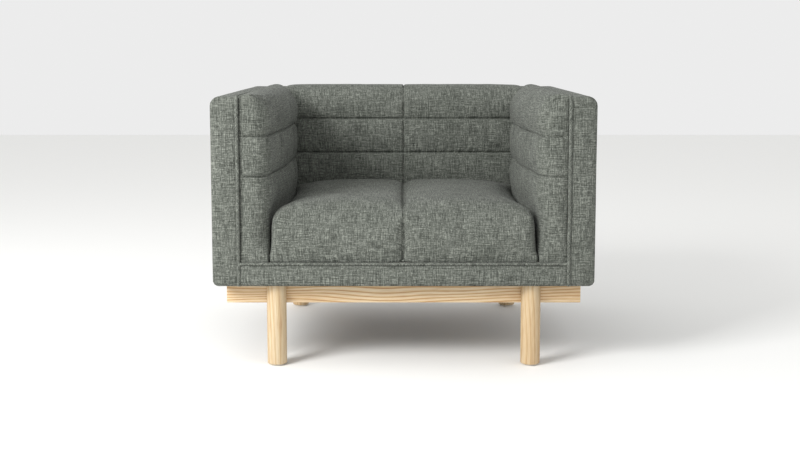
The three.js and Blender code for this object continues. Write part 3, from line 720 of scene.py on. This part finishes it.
def inflate(piece, held, pressure, cap, slack):
    """Blows the cloth up from inside with the held vertices still, no point moving more than cap.

    slack is how much bigger the cloth is cut than the shape it starts from.
    """
    start = points_of(piece)
    group = piece.vertex_groups.new(name="held")
    group.add([int(i) for i in np.flatnonzero(held)], 1.0, "REPLACE")
    cloth = piece.modifiers.new("cloth", "CLOTH")
    settings = cloth.settings
    settings.quality = 5
    settings.use_pressure = True
    settings.uniform_pressure_force = pressure
    settings.effector_weights.gravity = 0
    settings.vertex_group_mass = "held"
    settings.shrink_min = -slack
    cloth.collision_settings.use_collision = False
    cloth.point_cache.frame_start = 1
    cloth.point_cache.frame_end = SETTLE_FRAMES
    for step in range(1, SETTLE_FRAMES + 1):
        bpy.context.scene.frame_set(step)
    blown = piece.evaluated_get(bpy.context.evaluated_depsgraph_get()).data
    flat = np.empty(len(blown.vertices) * 3)
    blown.vertices.foreach_get("co", flat)
    piece.modifiers.remove(cloth)
    piece.vertex_groups.remove(group)
    bpy.context.scene.frame_set(1)
    move = flat.reshape(-1, 3) - start
    length = np.maximum(np.linalg.norm(move, axis=1), 1e-9)
    move *= (cap * np.tanh(length / cap) / length)[:, None]
    set_points(piece, start + move)


NO_EDGE = 9.0


def level_distance(points, heights):
    """How far above or below the nearest of the heights each point is."""
    return np.min([np.abs(points[:, 2] - height) for height in heights], axis=0)


def quilt(piece, held, seam_distance, cap, seed, depth=SEAM_DEPTH, edge=NO_EDGE):
    """Swells a pad with its seams held, refines it, and presses its seams and small puckers in.

    The seams run out where they come close to x = edge or -edge.
    """
    inflate(piece, held, PAD_PRESSURE, cap, PAD_SLACK)
    refine(piece)
    points = points_of(piece)
    away = seam_distance(points)
    share = eased(edge - np.abs(points[:, 0]), *SEAM_END_SPAN)
    pucker = PUCKER_HEIGHT * share * np.exp(-away / PUCKER_REACH) * ripple(points, PUCKER_SIZE, seed)
    set_points(piece, points + normals_of(piece) * pucker[:, None])
    press_in(piece, seam_distance(points_of(piece)), depth * share, SEAM_WIDTH)
    soften(piece, seed + 3)
    smooth(piece)


def refine_near(piece, place, reach):
    """Splits the faces within reach of place in four, so that small folds can be pressed in."""
    shape = bmesh.new()
    shape.from_mesh(piece.data)
    edges = [edge for edge in shape.edges
             if ((edge.verts[0].co + edge.verts[1].co) / 2 - Vector(place)).length < reach]
    bmesh.ops.subdivide_edges(shape, edges=edges, cuts=2, use_grid_fill=True)
    shape.to_mesh(piece.data)
    shape.free()
    piece.data.update()


def front_point(points, across, up):
    """The point of the surface that is seen from the front at this place across and up."""
    aside = np.hypot(points[:, 0] - across, points[:, 2] - up)
    near = points[aside < max(0.004, aside.min() + 1e-4)]
    return near[near[:, 1].argmin()]


# The folds at the top of the arm pads' front corners, as lines of places (across, up)
PLEATS = {"left": (((0.3908, 0.7215), (0.3698, 0.7180), (0.3643, 0.7090), (0.3560, 0.7015)),
                   ((0.3555, 0.6975), (0.3480, 0.6950))),
          "right": (((0.3860, 0.7205), (0.3640, 0.7140), (0.3615, 0.7080)),)}
PLEAT_PLACE = (0.368, pad_front + 0.012, 0.712)
PLEAT_REACH = 0.042
FLOOR_LINES = [pad_floor + step for step in (0.0025, 0.007)]
SEWN_HEIGHT = 0.0075
HIDDEN_BELOW = 0.415
HIDDEN_BEHIND = 0.05
HAIR = 0.0015
REAR_SKIN = 0.002

# Where the roundings of the arm pads shrink, and to what share
WELT_SPAN = (0, 0.055)
FACE_SPAN = (0.036, 0.037)
ROUND_LEAST = 0.13
SEWN_SPAN = (0.006, 0.06)
SEWN_LEAST = 0.10
BEHIND_SPAN = (-0.01, 0.03)
BEHIND_LOSS = 0.8

# The crown rises over the pads' tops from the front backwards, and drops off behind the back pad
CROWN_HEIGHT_SPAN = (0.655, 0.06)
CROWN_RUN_SPAN = (0, 0.2)
CROWN_LEAST = 0.35
CROWN_END_SPAN = (-0.03, 0.04)
CROWN_END_LOSS = 0.6

# The channels swell between the seams on the sitter's side, but not at the top and the seat
SWELL_SPAN = (0, 0.030)
SWELL_SIDE_SPAN = (0.5, 0.4)
SWELL_TOP_SPAN = (0, 0.05)
SWELL_SEAT_SPAN = (0.40, 0.05)

# What the back pad hides is held still: the inner part, below the top edge
BACK_OVERLAP = 0.006
INNER_PART = 0.7
TOP_FREE = 0.03

for side, sign in (("left", -1), ("right", 1)):
    box_low, box_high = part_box(f"{side}_arm_pad")
    rear_y = box_high.y
    front_y, top_z = pad_front + FRONT_SETBACK, pad_top - PAD_DROP
    low = [-OUTER_X if sign < 0 else FACE_X, front_y, pad_floor]
    high = [-FACE_X if sign < 0 else OUTER_X, rear_y, top_z]
    near = [OUTER_ROUNDING if sign < 0 else INNER_ROUNDING, FRONT_ROUNDING, FLOOR_ROUNDING]
    far = [INNER_ROUNDING if sign < 0 else OUTER_ROUNDING, REAR_ROUNDING, TOP_ROUNDING]

    def keep_round(points):
        """The roundings shrink towards the welt, where the cloth is sewn down tight."""
        inset = OUTER_X - np.abs(points[:, 0])
        above = eased(inset, *WELT_SPAN, ROUND_LEAST)
        front = eased(inset, *FACE_SPAN, ROUND_LEAST)
        sewn_down = eased(points[:, 2] - pad_floor, *SEWN_SPAN, SEWN_LEAST)
        above *= 1 - BEHIND_LOSS * eased(points[:, 1] - back_face, *BEHIND_SPAN)
        return np.stack([sewn_down, np.minimum(front, sewn_down), above], axis=1)

    front_lines = [front_y + step for step in (0.002, 0.005)]
    top_lines = [top_z - step for step in (0.006, 0.0025)]
    pad = soft_block(f"{side}_arm_pad_cover", low, high, near, far, PAD_CELL,
                     ((), front_lines, seam_lines(CHANNEL_SEAMS) + top_lines + FLOOR_LINES), keep_round)
    points = points_of(pad)
    inward = (OUTER_X - np.abs(points[:, 0])) / (OUTER_X - FACE_X)
    points[:, 0] -= sign * pad_lean(points[:, 1]) * np.clip(inward, 0, 1)
    points[:, 2] += (PAD_CROWN * np.sin(np.pi * np.clip(inward, 0, 1))
                     * eased(points[:, 2], *CROWN_HEIGHT_SPAN)
                     * eased(points[:, 1] - pad_front, *CROWN_RUN_SPAN, CROWN_LEAST)
                     * (1 - CROWN_END_LOSS * eased(points[:, 1] - back_face, *CROWN_END_SPAN)))
    points[:, 0] -= (sign * CHANNEL_SWELL * eased(level_distance(points, CHANNEL_SEAMS), *SWELL_SPAN)
                     * eased(inward, *SWELL_SIDE_SPAN) * eased(pad_top - points[:, 2], *SWELL_TOP_SPAN)
                     * eased(points[:, 2], *SWELL_SEAT_SPAN))
    set_points(pad, points)
    held = ((level_distance(points, CHANNEL_SEAMS) < ON_SEAM)
            | (np.abs(points[:, 0]) > OUTER_X - 2 * HAIR)
            | (points[:, 1] > back_face + BACK_OVERLAP) & (inward > INNER_PART)
            & (points[:, 2] < pad_top - TOP_FREE)
            | (points[:, 1] > rear_y - REAR_SKIN)
            | (points[:, 2] < pad_floor + SEWN_HEIGHT)
            | (points[:, 2] < HIDDEN_BELOW) & (points[:, 1] > pad_front + HIDDEN_BEHIND))
    quilt(pad, held, lambda places: level_distance(places, CHANNEL_SEAMS), ROLL_CAP, 21 + sign,
          edge=OUTER_X - REAR_SKIN)
    refine_near(pad, (sign * PLEAT_PLACE[0], *PLEAT_PLACE[1:]), PLEAT_REACH)
    for line in PLEATS[side]:
        fold = [front_point(points_of(pad), sign * across, up) for across, up in line]
        for start, stop in zip(fold, fold[1:]):
            press_in(pad, distance_to_line(points_of(pad), start, stop), PLEAT_DEPTH, PLEAT_WIDTH)
    lay_threads(pad)
    smooth(pad)
    finish_piece(pad, cover_cloth, [f"{side}_arm_pad"])

back_seams = tuple(z + BACK_SEAM_RISE for z in CHANNEL_SEAMS)
box_low, box_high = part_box("back_pad")

# The back pad runs a little into the arm pads, and is set back and down by how much it swells
half = FACE_X + PAD_TUCK + HAIR
BACK_SETBACK = 0.006
BACK_DROP = 0.007
BACK_END_LIFT = 0.0015
BACK_CAP = 0.0115
END_ROUNDING = 0.004
BACK_FRONT_ROUNDING = 0.030
BACK_TOP_ROUNDING = 0.028
BACK_WELT_SPAN = (0.012, 0.06)
BACK_WELT_LEAST = 0.12
END_LIFT_SPAN = (0.29, 0.06)
TOP_LIFT_SPAN = (0.66, 0.04)
UPRIGHT_SEAM_FREE = 0.04
UPRIGHT_SEAM_FAINT = 0.0010


def keep_back_round(points):
    """The back pad is full at its top front edge and tight behind, along the welt."""
    share = eased(box_high.y - points[:, 1], *BACK_WELT_SPAN, BACK_WELT_LEAST)
    return np.stack([np.ones_like(share), np.ones_like(share), share], axis=1)


pad = soft_block("back_pad_cover", [-half, box_low.y + BACK_SETBACK, pad_floor],
                 [half, box_high.y, pad_top - BACK_DROP],
                 [END_ROUNDING, BACK_FRONT_ROUNDING, FLOOR_ROUNDING],
                 [END_ROUNDING, END_ROUNDING, BACK_TOP_ROUNDING],
                 PAD_CELL, (seam_lines([0.0]), (), seam_lines(back_seams)), keep_back_round)
points = points_of(pad)
points[:, 2] += (BACK_END_LIFT * eased(np.abs(points[:, 0]), *END_LIFT_SPAN)
                 * eased(points[:, 2], *TOP_LIFT_SPAN))
set_points(pad, points)
held = ((level_distance(points, back_seams) < ON_SEAM)
        | (np.abs(points[:, 0]) < ON_SEAM) & (points[:, 2] < pad_top - UPRIGHT_SEAM_FREE)
        | (np.abs(points[:, 0]) > half - HAIR) & (points[:, 2] < pad_top - TOP_FREE)
        | (points[:, 1] > box_high.y - REAR_SKIN)
        | (points[:, 2] < HIDDEN_BELOW))


def back_distance(points):
    """How far each point is from a seam; the upright seam counts as further, so it is fainter."""
    return np.minimum(level_distance(points, back_seams), np.abs(points[:, 0]) + UPRIGHT_SEAM_FAINT)


quilt(pad, held, back_distance, BACK_CAP, 31)
lay_threads(pad)
finish_piece(pad, cover_cloth, ["back_pad"])


# Seat ----------------------------------------------------------------------------------------
# One crowned cushion of foam and fibre on springs, with a seam down its middle that runs over
# the front edge. It is sewn down to the welt in front and held between the pads, so it is fixed.
SEAT_CAP = 0.016
SEAT_HALF = 0.3525
SEAT_TOP = 0.4300
SEAT_FALL = 0.013
SEAT_FALL_POWER = 3.0
SEAT_ROUNDING = 0.018
SEAT_FRONT_ROUNDING = 0.072
SEAT_REAR_ROUNDING = 0.016
SEAT_TOP_ROUNDING = 0.040
SEAT_SEAM_DEPTH = 0.0050
VALLEY_DEPTH = 0.0035
VALLEY_WIDTH = 0.016
GAP_LEFT = 0.0025
GAP_RIGHT = 0.0045
GAP_SIDE_SPAN = (-0.035, 0.03)
GAP_HEIGHT_SPAN = (0.015, 0.02)
GAP_DEPTH = 0.12
GAP_END_SPAN = (0, 0.05)
SEAT_SEWN_SPAN = (0.006, 0.085)
SEAT_SEWN_LEAST = 0.07
SEAT_SIDE_LEAST = 0.3
SEAT_FRONT_SWELL = 0.002
PAD_FOLLOW = 0.92

seat_low, seat_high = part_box("seat_cushion")


def keep_seat_round(points):
    """The seat's front edge is full above and tight below, where it is sewn into the welt."""
    share = eased(points[:, 2] - pad_floor, *SEAT_SEWN_SPAN, SEAT_SEWN_LEAST)
    sides = SEAT_SIDE_LEAST + (1 - SEAT_SIDE_LEAST) * share
    return np.stack([sides, share, np.ones_like(share)], axis=1)


seat = soft_block("seat_cover", [-SEAT_HALF, seat_low.y - SEAT_FRONT_SWELL, pad_floor],
                  [SEAT_HALF, seat_high.y, SEAT_TOP],
                  [SEAT_ROUNDING, SEAT_FRONT_ROUNDING, FLOOR_ROUNDING],
                  [SEAT_ROUNDING, SEAT_REAR_ROUNDING, SEAT_TOP_ROUNDING],
                  PAD_CELL, (seam_lines([0.0]), (), FLOOR_LINES), keep_seat_round)
points = points_of(seat)
rise = np.clip((points[:, 2] - seat_low.z) / (SEAT_TOP - seat_low.z), 0, 1)
points[:, 2] -= SEAT_FALL * rise * (np.abs(points[:, 0]) / SEAT_HALF) ** SEAT_FALL_POWER
seat_edge = SEAT_HALF - PAD_FOLLOW * pad_lean(points[:, 1])
points[:, 0] *= seat_edge / SEAT_HALF
set_points(seat, points)
held = ((np.abs(points[:, 0]) < ON_SEAM)
        | (np.abs(points[:, 0]) > seat_edge - HAIR)
        | (points[:, 1] > seat_high.y - REAR_SKIN)
        | (points[:, 2] < pad_floor + SEWN_HEIGHT))


def seat_seam_distance(points):
    behind = np.maximum(points[:, 1] - (seat_high.y - 0.01), 0)
    return np.hypot(points[:, 0], behind)


quilt(seat, held, seat_seam_distance, SEAT_CAP, 41, SEAT_SEAM_DEPTH)
press_in(seat, seat_seam_distance(points_of(seat)), VALLEY_DEPTH, VALLEY_WIDTH)

# A narrow dark gap opens beside the seat's front corners, above where they are sewn down
points = points_of(seat)
beside = (eased(np.abs(points[:, 0]) - SEAT_HALF, *GAP_SIDE_SPAN)
          * eased(points[:, 2] - pad_floor, *GAP_HEIGHT_SPAN)
          * eased(seat_low.y + GAP_DEPTH - points[:, 1], *GAP_END_SPAN))
points[:, 0] -= beside * np.where(points[:, 0] > 0, GAP_RIGHT, -GAP_LEFT)
set_points(seat, points)
lay_threads(seat)
finish_piece(seat, cover_cloth, ["seat_cushion"])


# Welts ---------------------------------------------------------------------------------------
# Cotton cord wrapped in a strip of the same cloth cut on the bias, sewn into the seams between
# the shells, the pads and the band. One runs up each arm and back along it, two run across.
WELT_RADIUS = 0.0040
ARM_WELT_RADIUS = 0.0049
WELT_WANDER = 0.0006
WELT_PROUD = 0.0022
ARM_WELT_X = 0.4310
WELT_INSET = 0.0025
WELT_BEND = 0.014
WELT_STEP = 0.012
WANDER_SCALE = 22
WELT_OVERRUN = 0.001
BEND_ANGLES = [math.radians(degrees) for degrees in (15, 30, 45, 60, 75)]


def welt(name, route, node, seed, radius=WELT_RADIUS):
    """A cloth-covered cord along route, as a closed tube that wanders a little."""
    line = bpy.data.curves.new(name, "CURVE")
    line.dimensions = "3D"
    line.bevel_depth = radius
    line.bevel_resolution = 3
    line.use_fill_caps = True
    spline = line.splines.new("POLY")
    spline.points.add(len(route) - 1)
    for point, place in zip(spline.points, route):
        waves = Vector(place) * WANDER_SCALE
        wander = Vector([WELT_WANDER * noise.noise(waves + Vector((seed, axis * 5, 0)))
                         for axis in range(3)])
        point.co = (*(Vector(place) + wander), 1)
    piece = bpy.data.objects.new(name, line)
    bpy.context.scene.collection.objects.link(piece)
    bpy.ops.object.select_all(action="DESELECT")
    bpy.context.view_layer.objects.active = piece
    piece.select_set(True)
    bpy.ops.object.convert(target="MESH")
    piece = bpy.context.object
    lay_threads(piece)
    smooth(piece)
    finish_piece(piece, welt_cloth, [node])


def straight(start, stop):
    """Points from start to stop, evenly spaced."""
    start, stop = Vector(start), Vector(stop)
    count = max(1, round((stop - start).length / WELT_STEP))
    return [start.lerp(stop, i / count) for i in range(count + 1)]


for side, sign in (("left", -1), ("right", 1)):
    welt_low, welt_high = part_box(f"{side}_arm_welt")
    x = sign * ARM_WELT_X
    front_y = cad_shell_front + WELT_INSET - WELT_PROUD
    top_z = cad_shell_top - WELT_INSET + WELT_PROUD
    rise = straight((x, front_y, welt_low.z - WELT_OVERRUN), (x, front_y, top_z - WELT_BEND))
    turn = [(x, front_y + WELT_BEND * (1 - math.cos(a)), top_z - WELT_BEND * (1 - math.sin(a)))
            for a in BEND_ANGLES]
    run = straight((x, front_y + WELT_BEND, top_z), (x, welt_high.y - WELT_OVERRUN, top_z))
    welt(f"{side}_arm_welt_cord", rise + turn + run, f"{side}_arm_welt", 3 + sign, ARM_WELT_RADIUS)

for name, proud_y, proud_z in (("seat_welt", -WELT_PROUD + 0.001, 0.0012),
                               ("back_welt", 0.0, WELT_PROUD - 0.001)):
    welt_low, welt_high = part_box(name)
    middle = (welt_low + welt_high) / 2 + Vector((0, proud_y, proud_z))
    route = straight((welt_low.x, middle.y, middle.z), (welt_high.x, middle.y, middle.z))
    welt(name + "_cord", route, name, 9)


# Dust cover ----------------------------------------------------------------------------------
# A sheet of black non-woven polypropylene stapled taut under the frame.
SHEET_THICKNESS = 0.0006
SHEET_CELLS = (80, 66)
DUST_BLACKS = [(0.35, "101012"), (0.7, "2c2c2f")]

dust_low, dust_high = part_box("dust_cover")
bpy.ops.object.select_all(action="DESELECT")
bpy.ops.mesh.primitive_grid_add(x_subdivisions=SHEET_CELLS[0], y_subdivisions=SHEET_CELLS[1], size=1)
dust = bpy.context.object
dust.name = "dust_cover_sheet"
dust.scale = (dust_high.x - dust_low.x, dust_high.y - dust_low.y, 1)
dust.location = (0, 0, dust_high.z - 0.0005)
bpy.ops.object.transform_apply(location=True, rotation=False, scale=True)
wall = dust.modifiers.new("cloth", "SOLIDIFY")
wall.thickness = SHEET_THICKNESS
apply_modifier(dust, wall)
dust_material, dust_shader = new_material("black_spunbond_polypropylene", 0.9)
place = add_node(dust_material, "TexCoord").outputs["Object"]
fibres = add_node(dust_material, "TexNoise", Vector=place, Scale=900.0, Detail=3.0)
black = add_node(dust_material, "ValToRGB", Fac=fibres.outputs["Fac"], stops=DUST_BLACKS)
link(dust_material, black.outputs[0], dust_shader.inputs["Base Color"])
bump = add_node(dust_material, "Bump", Strength=0.4, Distance=0.0006, Height=fibres.outputs["Fac"])
link(dust_material, bump.outputs[0], dust_shader.inputs["Normal"])
finish_piece(dust, dust_material, ["dust_cover"])


# Hidden pieces -------------------------------------------------------------------------------
# The carcass, springs, webbing, felt and fasteners keep their own shapes and get the finish of
# what they are made of.
def plain_pattern(name, roughness, metallic, scale, low_colour, high_colour, size, depth=0.0003):
    """A finish with one noise pattern: scale stretches it per axis, size is its grain in metres."""
    material, shader = new_material(name, roughness, metallic)
    place = add_node(material, "TexCoord").outputs["Object"]
    stretched = add_node(material, "Mapping", Vector=place, Scale=scale).outputs[0]
    grain = add_node(material, "TexNoise", Vector=stretched, Scale=1 / size, Detail=4.0)
    colour = add_node(material, "ValToRGB", Fac=grain.outputs["Fac"],
                      stops=[(0.3, low_colour), (0.7, high_colour)])
    link(material, colour.outputs[0], shader.inputs["Base Color"])
    bump = add_node(material, "Bump", Strength=0.4, Distance=depth, Height=grain.outputs["Fac"])
    link(material, bump.outputs[0], shader.inputs["Normal"])
    return material


BEECH_DARK = "b48a5c"
BEECH_PALE = "d9b88c"
sawn_across = plain_pattern("sawn_beech_rails", 0.75, 0, (0.08, 1, 1), BEECH_DARK, BEECH_PALE, 0.004)
sawn_deep = plain_pattern("sawn_beech_arm_rails", 0.75, 0, (1, 0.08, 1), BEECH_DARK, BEECH_PALE, 0.004)
sawn_up = plain_pattern("sawn_beech_posts", 0.75, 0, (1, 1, 0.08), BEECH_DARK, BEECH_PALE, 0.004)
birch_ply = plain_pattern("birch_plywood", 0.7, 0, (1, 0.1, 1), "c09a68", "dfc296", 0.006)
oiled_wire = plain_pattern("oil_tempered_spring_wire", 0.38, 1, (1, 1, 1), "4d4f52", "707276", 0.002)
zinc_plate = plain_pattern("zinc_plated_steel", 0.35, 1, (1, 1, 1), "a2a5a8", "c6c9cc", 0.003)
woven_strap = plain_pattern("woven_elastic_webbing", 0.85, 0, (1, 1, 0.15), "26262a", "4a4a50", 0.0015)
needled_felt = plain_pattern("needled_insulator_felt", 0.95, 0, (1, 1, 1), "77736c", "a39e95", 0.0025)
moulded_nylon = plain_pattern("moulded_nylon_glide", 0.45, 0, (1, 1, 1), "cfccc2", "dedbd2", 0.005)

for node, piece in nodes.items():
    if piece.hide_render:
        continue
    if node.startswith(("seat_rail", "arm_top_rail")):
        finish = sawn_deep
    elif node.startswith(("front_post", "rear_post")):
        finish = sawn_up
    elif node.startswith("arm_board"):
        finish = birch_ply
    elif node.startswith("sinuous_spring"):
        finish = oiled_wire
    elif node.startswith(("leg_bolt", "frame_screw")):
        finish = zinc_plate
    elif node.startswith("back_webbing"):
        finish = woven_strap
    elif node == "spring_insulator":
        finish = needled_felt
    elif node.startswith("glide"):
        finish = moulded_nylon
    else:
        finish = sawn_across
    piece.data.materials.clear()
    piece.data.materials.append(finish)
